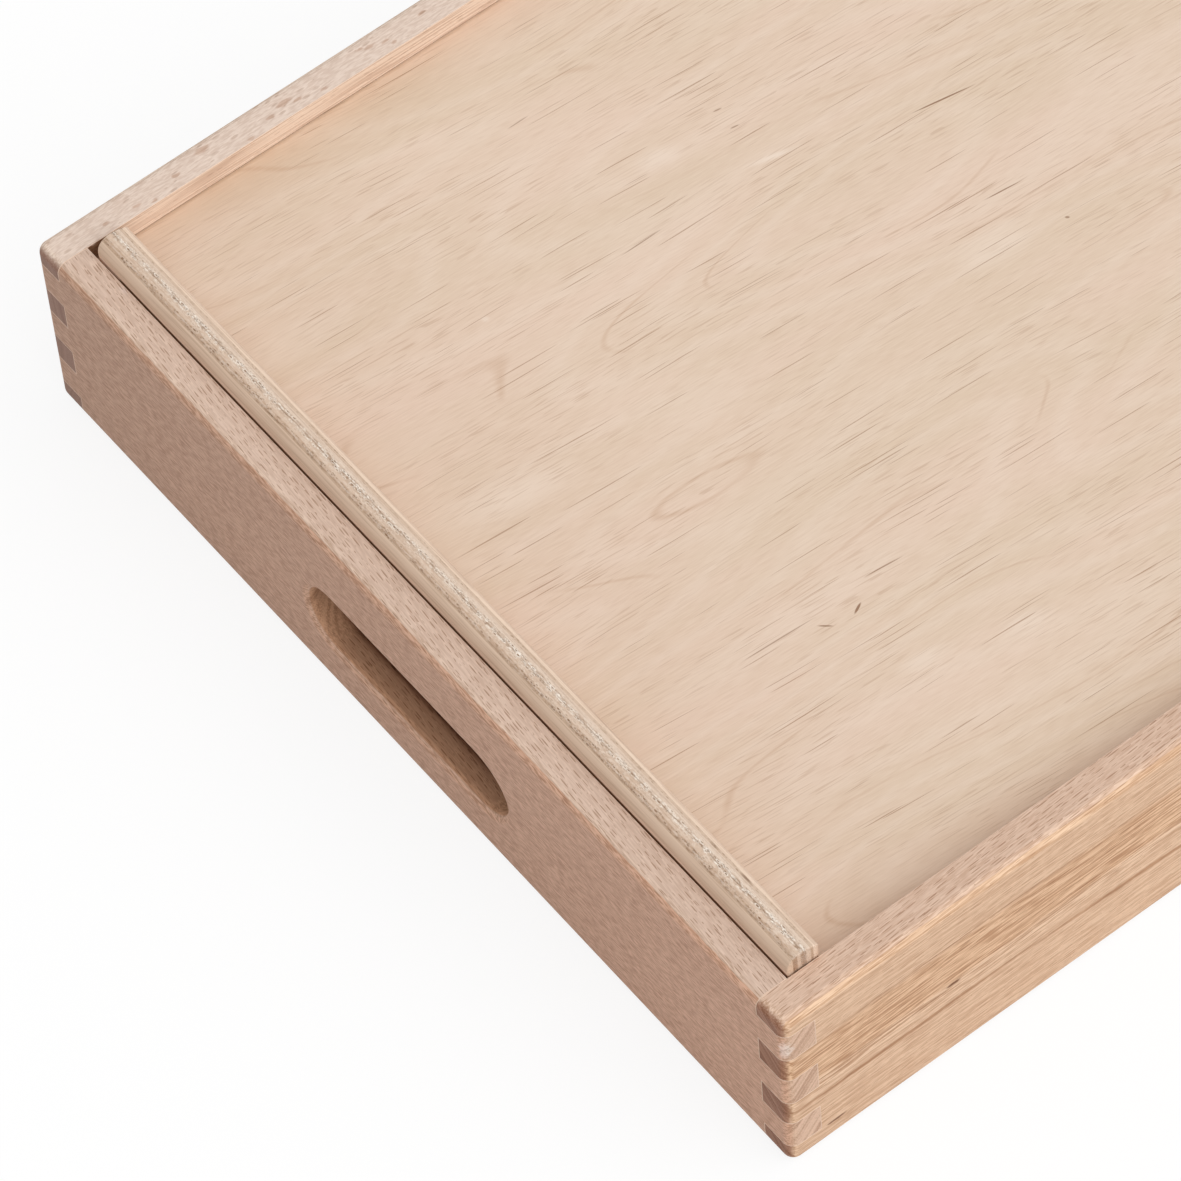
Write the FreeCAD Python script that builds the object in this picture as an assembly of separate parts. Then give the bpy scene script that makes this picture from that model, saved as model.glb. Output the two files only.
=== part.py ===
import FreeCAD, Part
import math
import os

os.makedirs("parts", exist_ok=True)

# A shallow tool box in solid beech with a sliding plywood lid.
# X runs across the box, Y from the lip end of the lid towards the end where it slides out, Z up.
# The origin is the middle of the footprint, on the surface that the box stands on. All sizes are in mm.

# The glued-up box, measured over its boards
box_width = 300.0
box_length = 400.0
box_height = 63.5
outer_round = 3.0  # radius routed on every outer edge after gluing

# Beech boards
side_thickness = 10.0
end_thickness = 9.5
back_round = 2.0  # radius on the outer top edge of the low back board

# Finger joints, counted down from the top edge; the bottom finger takes what is left
top_finger = 6.1
end_finger = 10.5  # fingers of the front and back boards
side_finger = 9.2  # middle fingers of the side boards
least_bottom_finger = 5.0

# Hand slots in both end boards
slot_length = 80.0
slot_height = 22.0
slot_rise = 16.75  # from the ground to the slot's lower edge
slot_rim_round = 2.5

# Plywood bottom, held in a groove all round
groove_depth = 5.0
bottom_thickness = 4.0
bottom_rise = 9.0  # from the ground to the panel's underside
bottom_fit = 0.1  # room above and below the panel in its groove
bottom_edge_room = 0.5  # room between the panel's edge and the groove's floor

# Plywood lid, sliding in grooves of the side boards, its front edge in a groove of the front board
lid_thickness = 5.0
lid_drop = 7.0  # from the top of the box down to the lid's upper face
lid_play = 0.3  # running clearance above and below the lid
lid_side_play = 0.6  # running clearance at each long edge
lid_front_play = 0.6  # room left in the front board's groove when the lid is shut
lid_setback = 0.5  # the shut lid stops this far inside the box's far end
lid_end_round = 0.6  # on the edges and corners of the end that leads out of the box

# Lip: a strip of thicker plywood set on edge, glued and screwed on top of the lid
lip_thickness = 9.5
lip_height = 12.7  # above the lid's upper face
lip_front_gap = 0.6  # between the lip and the front board
lip_left_gap = 3.8
lip_right_gap = 0.5
lip_front_radius = 4.0
lip_crown_radius = 10.0
lip_back_round = 0.8
lip_end_round = 0.4

# Countersunk wood screws that hold the lip, driven up through the lid
screw_count = 3
screw_inset = 22.0  # from each end of the lip to the nearest screw
screw_length = 12.0
screw_shank_radius = 1.4
screw_head_radius = 2.8
screw_head_rim = 0.3
screw_tip_length = 2.5
screw_hole_room = 0.05

# Places worked out from the sizes above
half_width = box_width / 2
half_length = box_length / 2
inner_x = half_width - side_thickness
inner_front = -half_length + end_thickness
inner_back = half_length - end_thickness
groove_x = inner_x + groove_depth
lid_top = box_height - lid_drop
lid_underside = lid_top - lid_thickness
lid_groove_floor = lid_underside - lid_play
back_height = lid_groove_floor  # the back board stops where the lid passes over it
lip_left = -inner_x + lip_left_gap
lip_right = inner_x - lip_right_gap
lip_front = inner_front + lip_front_gap
lip_back = lip_front + lip_thickness


def block(x0, x1, y0, y1, z0, z1):
    """A rectangular block between two corners."""
    return Part.makeBox(x1 - x0, y1 - y0, z1 - z0, FreeCAD.Vector(x0, y0, z0))


def rounded(shape, radius, wanted):
    """The shape with a radius on each edge whose middle point passes the test."""
    chosen = []
    for edge in shape.Edges:
        middle = edge.valueAt((edge.FirstParameter + edge.LastParameter) / 2)
        if wanted(middle):
            chosen.append(edge)
    return shape.makeFillet(radius, chosen)


def near(a, b):
    """True where two lengths are the same, within the modelling tolerance."""
    return abs(a - b) < 1e-4


def finger_heights(board_height):
    """Lower and upper height of each finger of an end board, from the top one down."""
    pitch = end_finger + side_finger
    room = box_height - top_finger - least_bottom_finger + side_finger
    heights = []
    for k in range(int(room // pitch)):
        high = box_height - top_finger - k * pitch
        if high < board_height:
            heights.append((high - end_finger, high))
    return heights


# The outer form that the glued box is rounded to: every board is trimmed by it
blank = block(-half_width, half_width, -half_length, half_length, 0, box_height)
outer_form = blank.makeFillet(outer_round, blank.Edges)

# The space that the bottom panel takes in the four boards
bottom_groove = block(
    -groove_x,
    groove_x,
    inner_front - groove_depth,
    inner_back + groove_depth,
    bottom_rise - bottom_fit,
    bottom_rise + bottom_thickness + bottom_fit,
)

# The space that the lid slides through: closed at the front, open at the back
lid_groove = block(
    -groove_x,
    groove_x,
    inner_front - groove_depth,
    half_length,
    lid_groove_floor,
    lid_top + lid_play,
)


def hand_slot(y0, y1):
    """A long hole with half-round ends, running through an end board from y0 to y1."""
    radius = slot_height / 2
    middle = slot_rise + radius
    straight = slot_length / 2 - radius
    left_high = FreeCAD.Vector(-straight, y0, middle + radius)
    right_high = FreeCAD.Vector(straight, y0, middle + radius)
    right_tip = FreeCAD.Vector(straight + radius, y0, middle)
    right_low = FreeCAD.Vector(straight, y0, middle - radius)
    left_low = FreeCAD.Vector(-straight, y0, middle - radius)
    left_tip = FreeCAD.Vector(-straight - radius, y0, middle)
    outline = Part.Wire(
        [
            Part.LineSegment(left_high, right_high).toShape(),
            Part.Arc(right_high, right_tip, right_low).toShape(),
            Part.LineSegment(right_low, left_low).toShape(),
            Part.Arc(left_low, left_tip, left_high).toShape(),
        ]
    )
    return Part.Face(outline).extrude(FreeCAD.Vector(0, y1 - y0, 0))


def end_board(y0, y1, height):
    """An end board between two faces: fingers, hand slot with softened rims, grooves."""
    board = block(-inner_x, inner_x, y0, y1, 0, height)
    for low, high in finger_heights(height):
        board = board.fuse(block(-half_width, half_width, y0, y1, low, high))
    board = board.removeSplitter().cut(hand_slot(y0, y1))

    def on_slot_rim(point):
        beside = abs(point.x) < slot_length / 2 + 1e-4
        level = slot_rise - 1e-4 < point.z < slot_rise + slot_height + 1e-4
        return beside and level and (near(point.y, y0) or near(point.y, y1))

    return rounded(board, slot_rim_round, on_slot_rim).cut(bottom_groove)


# The front board reaches the full height and takes the front edge of the lid
front_board = end_board(-half_length, inner_front, box_height)
front_board = front_board.cut(lid_groove).common(outer_form)

# The back board is lower, so that the lid slides out over it
back_board = end_board(inner_back, half_length, back_height)
back_board = rounded(
    back_board,
    back_round,
    lambda point: near(point.y, half_length) and near(point.z, back_height),
)
back_board = back_board.common(outer_form)


def side_board(side):
    """A side board over the full length; side is -1 for the left one and 1 for the right one."""
    x0, x1 = sorted((side * inner_x, side * half_width))
    board = block(x0, x1, -half_length, half_length, 0, box_height)
    for low, high in finger_heights(box_height):
        board = board.cut(block(x0, x1, -half_length, inner_front, low, high))
    for low, high in finger_heights(back_height):
        board = board.cut(block(x0, x1, inner_back, half_length, low, high))
    return board.cut(bottom_groove).cut(lid_groove).common(outer_form)


left_side_board = side_board(-1)
right_side_board = side_board(1)

# The bottom panel lies in the grooves of all four boards
bottom_panel = block(
    -groove_x + bottom_edge_room,
    groove_x - bottom_edge_room,
    inner_front - groove_depth + bottom_edge_room,
    inner_back + groove_depth - bottom_edge_room,
    bottom_rise,
    bottom_rise + bottom_thickness,
)


def screw(x, y, room):
    """A countersunk screw standing head down in the lid's underside, enlarged all over by room."""
    head_height = screw_head_rim + screw_head_radius - screw_shank_radius
    outline = [
        (0, 0),
        (screw_head_radius + room, 0),
        (screw_head_radius + room, screw_head_rim),
        (screw_shank_radius + room, head_height),
        (screw_shank_radius + room, screw_length - screw_tip_length),
        (0, screw_length + room),
        (0, 0),
    ]
    points = [FreeCAD.Vector(x + r, y, lid_underside + z) for r, z in outline]
    face = Part.Face(Part.makePolygon(points))
    return face.revolve(FreeCAD.Vector(x, y, 0), FreeCAD.Vector(0, 0, 1), 360)


# Screw places: in one row under the middle of the lip, evenly spaced between the insets
screw_y = (lip_front + lip_back) / 2
screw_first = lip_left + screw_inset
screw_step = (lip_right - lip_left - 2 * screw_inset) / (screw_count - 1)
screw_places = [screw_first + k * screw_step for k in range(screw_count)]
screw_holes = [screw(x, screw_y, screw_hole_room) for x in screw_places]

# The lid panel
lid_end = half_length - lid_setback
lid_panel = block(
    -groove_x + lid_side_play,
    groove_x - lid_side_play,
    inner_front - groove_depth + lid_front_play,
    lid_end,
    lid_underside,
    lid_top,
)
lid_panel = rounded(lid_panel, lid_end_round, lambda point: near(point.y, lid_end))
lid_panel = lid_panel.cut(screw_holes)


def lip_section():
    """The lip's section across its length: upright front, large front radius, crowned top."""
    top = lid_top + lip_height
    shoulder = lip_front + lip_front_radius
    rise = math.asin((lip_back - shoulder) / lip_crown_radius)
    crown_z = top - lip_crown_radius

    def on_crown(angle):
        y = shoulder + lip_crown_radius * math.sin(angle)
        return FreeCAD.Vector(lip_left, y, crown_z + lip_crown_radius * math.cos(angle))

    quarter = lip_front_radius * (1 - math.cos(math.pi / 4))
    foot_front = FreeCAD.Vector(lip_left, lip_front, lid_top)
    front_high = FreeCAD.Vector(lip_left, lip_front, top - lip_front_radius)
    front_mid = FreeCAD.Vector(lip_left, lip_front + quarter, top - quarter)
    foot_back = FreeCAD.Vector(lip_left, lip_back, lid_top)
    return Part.Wire(
        [
            Part.LineSegment(foot_front, front_high).toShape(),
            Part.Arc(front_high, front_mid, on_crown(0)).toShape(),
            Part.Arc(on_crown(0), on_crown(rise / 2), on_crown(rise)).toShape(),
            Part.LineSegment(on_crown(rise), foot_back).toShape(),
            Part.LineSegment(foot_back, foot_front).toShape(),
        ]
    )


# The lip runs between the side boards; its back top edge and its ends are softened
lid_lip = Part.Face(lip_section()).extrude(FreeCAD.Vector(lip_right - lip_left, 0, 0))
lid_lip = rounded(
    lid_lip,
    lip_back_round,
    lambda point: near(point.y, lip_back) and near(point.x, (lip_left + lip_right) / 2) and point.z > lid_top,
)
lid_lip = rounded(
    lid_lip,
    lip_end_round,
    lambda point: (near(point.x, lip_left) or near(point.x, lip_right)) and point.z > lid_top + 1e-4,
)
lid_lip = lid_lip.cut(screw_holes)

lip_screws = Part.makeCompound([screw(x, screw_y, 0) for x in screw_places])

pieces = {
    "front_board": front_board,
    "back_board": back_board,
    "left_side_board": left_side_board,
    "right_side_board": right_side_board,
    "bottom_panel": bottom_panel,
    "lid_panel": lid_panel,
    "lid_lip": lid_lip,
    "lip_screws": lip_screws,
}
for name, shape in pieces.items():
    shape.exportStep(f"parts/{name}.step")
    print(name, len(shape.Solids), "solid(s)", round(shape.Volume), "mm3", shape.isValid())
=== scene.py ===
import math

import bmesh
import bpy
from mathutils import Matrix, Vector


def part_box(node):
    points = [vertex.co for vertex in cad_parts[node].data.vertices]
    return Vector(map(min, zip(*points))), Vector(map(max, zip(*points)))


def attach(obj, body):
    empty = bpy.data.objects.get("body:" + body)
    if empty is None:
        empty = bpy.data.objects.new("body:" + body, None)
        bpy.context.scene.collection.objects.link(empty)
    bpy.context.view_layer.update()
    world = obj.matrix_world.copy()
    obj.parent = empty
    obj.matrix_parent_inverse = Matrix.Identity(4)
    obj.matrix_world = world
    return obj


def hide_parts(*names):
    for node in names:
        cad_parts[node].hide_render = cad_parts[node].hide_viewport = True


# A shallow tool box: four beech boards finger-jointed at the corners, a plywood bottom in their grooves,
# and a plywood lid that slides towards the low back board, with a lip on top of it to push against.
# X runs across the box, Y from the lip end towards the low end, Z up.
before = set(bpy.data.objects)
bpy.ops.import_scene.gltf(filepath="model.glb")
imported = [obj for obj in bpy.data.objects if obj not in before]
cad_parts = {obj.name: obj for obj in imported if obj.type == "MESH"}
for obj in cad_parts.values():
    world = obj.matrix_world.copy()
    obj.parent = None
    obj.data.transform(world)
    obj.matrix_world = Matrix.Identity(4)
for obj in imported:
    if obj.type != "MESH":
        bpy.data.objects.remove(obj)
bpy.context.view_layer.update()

# ---- Camera ------------------------------------------------------------------------------------------
# The camera looks down on the front right corner of the box through a long lens, which keeps the edges
# of the boards nearly parallel. It is turned a little about its own line of sight.
camera_place = Vector((0.941287, -0.760192, 1.658975))
camera_azimuth = math.radians(56.7284)
camera_elevation = math.radians(55.4734)
camera_roll = math.radians(-5.7061)
film_width = 36.0  # in mm, as is the focal length
focal_length = 243.825
nearest_seen = 0.05
farthest_seen = 50.0

scene = bpy.context.scene
scene.view_settings.view_transform = "Standard"
camera_data = bpy.data.cameras.new("camera")
camera_data.sensor_width = film_width
camera_data.lens = focal_length
camera_data.clip_start = nearest_seen
camera_data.clip_end = farthest_seen
camera = bpy.data.objects.new("camera", camera_data)
camera.matrix_world = (
    Matrix.Translation(camera_place)
    @ Matrix.Rotation(camera_azimuth, 4, "Z")
    @ Matrix.Rotation(math.pi / 2 - camera_elevation, 4, "X")
    @ Matrix.Rotation(camera_roll, 4, "Z")
)
scene.collection.objects.link(camera)
scene.camera = camera

# ---- Floor and light ---------------------------------------------------------------------------------
# The box stands on a wide white floor in an even white room. One broad soft lamp, high up on the right,
# adds to the room's light, so that the front board lies in gentle shade.
plain_white = (1.0, 1.0, 1.0, 1.0)
room_light = 0.55
floor_radius = 8.0
floor_sides = 96
floor_below = 0.0001
floor_bounce = (0.70, 0.70, 0.70, 1.0)  # how much light the floor throws back up at the box
shadow_share = 0.16  # how much of the box's shadow shows on the floor
lamp_strength = 1.88
lamp_direction = Vector((0.38, 0.10, 0.45))
lamp_spread = math.radians(80)


def step(finish, kind, inputs=None, **settings):
    """Adds one node to a finish. An input, by name or number, is a value or an earlier node's output."""
    made = finish.nodes.new("ShaderNode" + kind)
    for name, value in settings.items():
        setattr(made, name, value)
    for place, value in (inputs or {}).items():
        if isinstance(value, bpy.types.NodeSocket):
            finish.links.new(value, made.inputs[place])
        else:
            made.inputs[place].default_value = value
    return made


def new_finish(name):
    """An empty material with its output node; gives the material, its node tree and the surface input."""
    material = bpy.data.materials.new(name)
    material.use_nodes = True
    finish = material.node_tree
    finish.nodes.clear()
    surface = step(finish, "OutputMaterial").inputs["Surface"]
    return material, finish, surface


def seen_directly(finish):
    """1 for a ray that shows the background, straight or in a reflection; 0 for light on the box."""
    rays = step(finish, "LightPath")
    shown = step(
        finish,
        "Math",
        {0: rays.outputs["Is Camera Ray"], 1: rays.outputs["Is Glossy Ray"]},
        operation="MAXIMUM",
    )
    shown = step(
        finish, "Math", {0: shown.outputs[0], 1: rays.outputs["Is Transmission Ray"]}, operation="MAXIMUM"
    )
    return shown.outputs[0]


world = bpy.data.worlds.new("white room")
world.use_nodes = True
room = world.node_tree
room.nodes.clear()
room_soft = step(room, "Background", {"Color": plain_white, "Strength": room_light})
room_white = step(room, "Background", {"Color": plain_white, "Strength": 1.0})
room_mix = step(
    room, "MixShader", {0: seen_directly(room), 1: room_soft.outputs[0], 2: room_white.outputs[0]}
)
step(room, "OutputWorld", {"Surface": room_mix.outputs[0]})
scene.world = world

floor_mesh = bpy.data.meshes.new("floor")
floor_shape = bmesh.new()
bmesh.ops.create_circle(floor_shape, cap_ends=True, segments=floor_sides, radius=floor_radius)
floor_shape.to_mesh(floor_mesh)
floor_shape.free()
floor = bpy.data.objects.new("floor", floor_mesh)
floor.location.z = -floor_below
scene.collection.objects.link(floor)
floor_paint, finish, surface = new_finish("white floor")
floor_glow = step(finish, "Emission", {"Color": plain_white, "Strength": 1.0})
floor_shaded = step(finish, "BsdfDiffuse", {"Color": plain_white})
floor_seen = step(
    finish, "MixShader", {0: shadow_share, 1: floor_glow.outputs[0], 2: floor_shaded.outputs[0]}
)
floor_lit = step(finish, "BsdfDiffuse", {"Color": floor_bounce})
floor_mix = step(
    finish, "MixShader", {0: seen_directly(finish), 1: floor_lit.outputs[0], 2: floor_seen.outputs[0]}
)
finish.links.new(floor_mix.outputs[0], surface)
floor_mesh.materials.append(floor_paint)

lamp_data = bpy.data.lights.new("high lamp", "SUN")
lamp_data.energy = lamp_strength
lamp_data.angle = lamp_spread
lamp = bpy.data.objects.new("high lamp", lamp_data)
lamp.rotation_euler = lamp_direction.to_track_quat("Z", "Y").to_euler()
scene.collection.objects.link(lamp)

# ---- Front board -------------------------------------------------------------------------------------
# Solid beech, planed and sanded, with three fingers at each end and a hand slot through it. It is glued
# to the side boards, and the outer edges were rounded with a router when the four boards were together.


def shade(red, green, blue):
    """A colour from its values on a paint chart that runs from 0 to 255."""
    channels = [c / 255 for c in (red, green, blue)]
    linear = [c / 12.92 if c < 0.04045 else ((c + 0.055) / 1.055) ** 2.4 for c in channels]
    return (*linear, 1.0)


arris = 0.00012  # what sandpaper takes off a sharp edge
arris_angle = math.radians(30)
one_point = 1e-6  # corners closer than this are one point
one_face = math.radians(0.2)  # faces that turn less than this are one flat face
front_grain_turn = math.radians(-4)
front_heart = (0.200, -0.170)
front_ray_gap = (0.0040, 0.0120, 0.0008)
front_ray_half = (0.0016, 0.1, 0.00012)
front_pale = shade(226, 200, 182)
front_deep = shade(188, 158, 138)
# Painted shade: the front board's wide faces are darker and warmer than its top, and darker towards its left
# end
front_face_shade_left = (0.80, 0.67, 0.60, 1.0)
front_face_shade_right = (0.97, 0.79, 0.70, 1.0)
front_end_tint = (0.93, 0.84, 0.76, 1.0)
# Painted shade inside the hand slot, where little light reaches
slot_shade_tint = (0.76, 0.57, 0.43, 1.0)
slot_deep_shade_tint = (0.47, 0.31, 0.25, 1.0)
bruise_pale = (1.10, 1.17, 1.27, 1.0)
# A pale grey patch on the rounded right corner of the front board's face
corner_patch_pale = (1.20, 1.55, 1.95, 1.0)
bruise = ((-0.1235, -0.0047, 0.0318), (0.0018, 0.0009, 0.0020), 0.0, 0.3, 0.8, bruise_pale)
pale_corner_patch = ((0.1490, 0.0062, 0.0200), (0.0014, 0.0040, 0.0050), 0.0, 0.3, 0.8, corner_patch_pale)
slot_low = Vector((-0.0405, -0.21, 0.0162))
slot_high = Vector((0.0405, 0.21, 0.0393))
slot_shade_from = 0.1945  # the painted shade on the slot's wall deepens between these distances from the middle of the box
slot_shade_to = 0.1905
sanding_line_from = 0.0430  # the uneven line of the sanding runs above this height only
sanding_brown = (0.84, 0.77, 0.70, 1.0)
polish_and_highlight_pale = (1.07, 1.06, 1.03, 1.0)  # on the rounded edges: partly polish by hands, partly a painted highlight where they catch the light
ray_brown = (0.49, 0.37, 0.28, 1.0)
ray_rim_pale = (1.12, 1.13, 1.14, 1.0)
grain_sway = (0.0, 0.004, 0.004)  # how far the grain sways along, across and up
mark_rag = (0.0024, 0.0012, 0.0006)  # how far the outline of a mark strays along, across and up
plain_tone = 0.58  # the tone of plain wood, from 0 for its deep colour to 1 for its pale one
broad_show = 0.24  # how much the tone changes slowly over the board, and in the rings of its end grain
end_ring_show = 2.6
calm_share = 0.45  # how strongly fibres show beside the streaky part of a wide face
calm_fade = 0.003  # how far the streaky part fades out, beyond its bounds and within them
streaky_fade = 0.001
face_tint_reach = 0.15  # where the two tints of a wide face are full, before and behind its middle


def sanded_edge_and_highlight(name, pale, deep):
    """The fresh wood that sandpaper leaves along a sharp edge, painted paler still as a highlight along it.
    """
    material, finish, surface = new_finish(name)
    fresh = cloud(finish, step(finish, "TexCoord").outputs["Object"], (900, 900, 900))
    wood = step(
        finish,
        "BsdfPrincipled",
        {"Base Color": tint(finish, fresh, deep, pale), "Roughness": 0.6, "Specular IOR Level": 0.25},
    )
    finish.links.new(wood.outputs[0], surface)
    return material


def soften(piece, width):
    """Smooths a piece's round faces and takes its sharp edges off by a small width."""
    corners = bpy.data.node_groups.get("joined corners")
    if corners is None:
        corners = bpy.data.node_groups.new("joined corners", "GeometryNodeTree")
        corners.interface.new_socket("Geometry", in_out="INPUT", socket_type="NodeSocketGeometry")
        corners.interface.new_socket("Geometry", in_out="OUTPUT", socket_type="NodeSocketGeometry")
        start = corners.nodes.new("NodeGroupInput")
        end = corners.nodes.new("NodeGroupOutput")
        merge = corners.nodes.new("GeometryNodeMergeByDistance")
        merge.inputs["Distance"].default_value = one_point
        smooth = corners.nodes.new("GeometryNodeSetMeshNormal")
        smooth.mode = "SHARPNESS"
        smooth.inputs["Remove Custom"].default_value = True
        angle = corners.nodes.new("GeometryNodeInputMeshEdgeAngle")
        sharp = corners.nodes.new("FunctionNodeCompare")
        sharp.operation = "GREATER_THAN"
        sharp.inputs[1].default_value = arris_angle
        corners.links.new(start.outputs[0], merge.inputs["Geometry"])
        corners.links.new(merge.outputs[0], smooth.inputs["Mesh"])
        corners.links.new(angle.outputs[0], sharp.inputs[0])
        corners.links.new(sharp.outputs[0], smooth.inputs["Edge Sharpness"])
        corners.links.new(smooth.outputs[0], end.inputs[0])
    piece.modifiers.new("joined corners", "NODES").node_group = corners
    flat = piece.modifiers.new("whole faces", "DECIMATE")
    flat.decimate_type = "DISSOLVE"
    flat.angle_limit = one_face
    flat.delimit = {"SHARP"}
    bevel = piece.modifiers.new("sanded edges", "BEVEL")
    bevel.width = width
    bevel.segments = 2
    bevel.limit_method = "ANGLE"
    bevel.angle_limit = arris_angle
    bevel.harden_normals = True
    bevel.use_clamp_overlap = False
    bevel.material = 1


def maths(finish, way, *values):
    """The result of one sum on numbers."""
    return step(finish, "Math", dict(enumerate(values)), operation=way).outputs[0]


def ramp(finish, value, low, high, start=0.0, end=1.0, smooth=True):
    """Carries a value from start to end while it goes from low to high, and holds it there."""
    made = step(
        finish,
        "MapRange",
        {"Value": value, "From Min": low, "From Max": high, "To Min": start, "To Max": end},
        interpolation_type="SMOOTHSTEP" if smooth else "LINEAR",
    )
    return made.outputs["Result"]


def between(finish, share, first, second):
    """The first number where the share is 0, the second where it is 1."""
    return maths(finish, "MULTIPLY_ADD", maths(finish, "SUBTRACT", second, first), share, first)


def swing(finish, value, reach, base):
    """The base number moved up and down by a random value, which runs from 0 to 1, times the reach."""
    return maths(finish, "MULTIPLY_ADD", maths(finish, "SUBTRACT", value, 0.5), reach, base)


def tint(finish, share, first, second, way="MIX"):
    """Blends a share of the second colour into the first."""
    made = step(finish, "Mix", {0: share, 6: first, 7: second}, data_type="RGBA", blend_type=way)
    return made.outputs[2]


def vector(finish, x, y, z):
    """A vector from three numbers."""
    return step(finish, "CombineXYZ", {0: x, 1: y, 2: z}).outputs[0]


def cloud(finish, place, scale, detail=2.0, roughness=0.5):
    """Soft random variation between 0 and 1, by how often it changes in a metre along each axis."""
    stretched = step(finish, "Mapping", {"Vector": place, "Scale": scale}).outputs[0]
    made = step(
        finish, "TexNoise", {"Vector": stretched, "Scale": 1.0, "Detail": detail, "Roughness": roughness}
    )
    return made.outputs["Fac"]


def strayed(finish, place, scale, detail, reach, base):
    """The base place moved about at random, by up to half the reach along each axis."""
    stretched = step(finish, "Mapping", {"Vector": place, "Scale": scale}).outputs[0]
    stray = step(finish, "TexNoise", {"Vector": stretched, "Scale": 1.0, "Detail": detail})
    stray = step(
        finish, "VectorMath", {0: stray.outputs["Color"], 1: (0.5, 0.5, 0.5)}, operation="SUBTRACT"
    )
    moved = step(finish, "VectorMath", {0: stray.outputs[0], 1: reach, 2: base}, operation="MULTIPLY_ADD")
    return moved.outputs[0]


def fibres(finish, place, run, many):
    """Fine fibres, from -0.5 to 0.5, by how many there are in a metre along and across the grain."""
    return ramp(finish, cloud(finish, place, (run, many, many), detail=1.0), 0.32, 0.68, -0.5, 0.5)


def spindles(finish, place, gap, half):
    """Separate long flecks, about one to each gap-sized cell, with their half sizes in metres.
    Gives the flecks and the thin pale rim round each."""
    scaled = step(finish, "Mapping", {"Vector": place, "Scale": [1 / size for size in gap]}).outputs[0]
    cells = step(finish, "TexVoronoi", {"Vector": scaled, "Scale": 1.0, "Randomness": 0.85})
    offset = step(finish, "VectorMath", {0: scaled, 1: cells.outputs["Position"]}, operation="SUBTRACT")
    shape = [size / wide for size, wide in zip(gap, half)]
    local = step(finish, "VectorMath", {0: offset.outputs[0], 1: shape}, operation="MULTIPLY").outputs[0]
    far = step(finish, "VectorMath", {0: local}, operation="LENGTH").outputs["Value"]
    draw = step(finish, "SeparateColor", {"Color": cells.outputs["Color"]}).outputs[0]
    far = maths(finish, "DIVIDE", far, ramp(finish, draw, 0.0, 1.0, 0.3, 1.25, smooth=False))
    rims = maths(finish, "MULTIPLY", ramp(finish, far, 0.8, 1.2), ramp(finish, far, 1.3, 2.2, 1.0, 0.0))
    return ramp(finish, far, 0.6, 1.1, 1.0, 0.0), rims


def spot(finish, place, centre, half_size, turn=(0.0, 0.0, 0.0), soft=0.5):
    """1 inside one long rounded spot, 0 outside it; soft is how far out it starts to fade."""
    local = step(
        finish,
        "Mapping",
        {"Vector": place, "Location": centre, "Rotation": turn, "Scale": half_size},
        vector_type="TEXTURE",
    ).outputs[0]
    far = step(finish, "VectorMath", {0: local}, operation="LENGTH").outputs["Value"]
    return ramp(finish, far, soft, 1.0, 1.0, 0.0)


def rounding(finish, normal):
    """1 where the surface turns halfway between two faces, 0 on the faces."""
    part = step(finish, "SeparateXYZ", {0: normal})
    x = maths(finish, "ABSOLUTE", part.outputs[0])
    y = maths(finish, "ABSOLUTE", part.outputs[1])
    z = maths(finish, "ABSOLUTE", part.outputs[2])
    pairs = maths(finish, "MULTIPLY_ADD", x, y, maths(finish, "MULTIPLY", y, z))
    pairs = maths(finish, "MULTIPLY_ADD", x, z, pairs)
    return ramp(finish, pairs, 0.05, 0.45)


def bare_wood(finish, surface, colour, roughness, shine, height, depth, strength):
    """Dull wood with a fine relief, read from a height, its depth in metres."""
    relief = step(finish, "Bump", {"Strength": strength, "Distance": depth, "Height": height}).outputs[0]
    wood = step(
        finish,
        "BsdfPrincipled",
        {"Base Color": colour, "Roughness": roughness, "Specular IOR Level": shine, "Normal": relief},
    )
    finish.links.new(wood.outputs[0], surface)


def shade_slot_wall(finish, place, side, colour):
    """Paints shade on the wall of the hand slot, deeper towards the inside of the box. Gives the colour, and
    1 inside the slot's own space, 0 outside it."""
    low_side = step(finish, "VectorMath", {0: place, 1: slot_low}, operation="SUBTRACT").outputs[0]
    high_side = step(finish, "VectorMath", {0: slot_high, 1: place}, operation="SUBTRACT").outputs[0]
    least = step(finish, "VectorMath", {0: low_side, 1: high_side}, operation="MINIMUM").outputs[0]
    least = step(finish, "SeparateXYZ", {0: least})
    inside = maths(finish, "MINIMUM", least.outputs[0], least.outputs[2])
    inside = ramp(finish, inside, -0.0001, 0.0, smooth=False)
    wall = maths(finish, "MULTIPLY", inside, ramp(finish, side, 0.2, 0.8, 1.0, 0.0))
    colour = tint(finish, wall, colour, slot_shade_tint, "MULTIPLY")
    deeper = maths(finish, "ABSOLUTE", step(finish, "SeparateXYZ", {0: place}).outputs[1])
    deeper = maths(finish, "MULTIPLY", ramp(finish, deeper, slot_shade_from, slot_shade_to), wall)
    return tint(finish, deeper, colour, slot_deep_shade_tint, "MULTIPLY"), inside


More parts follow.
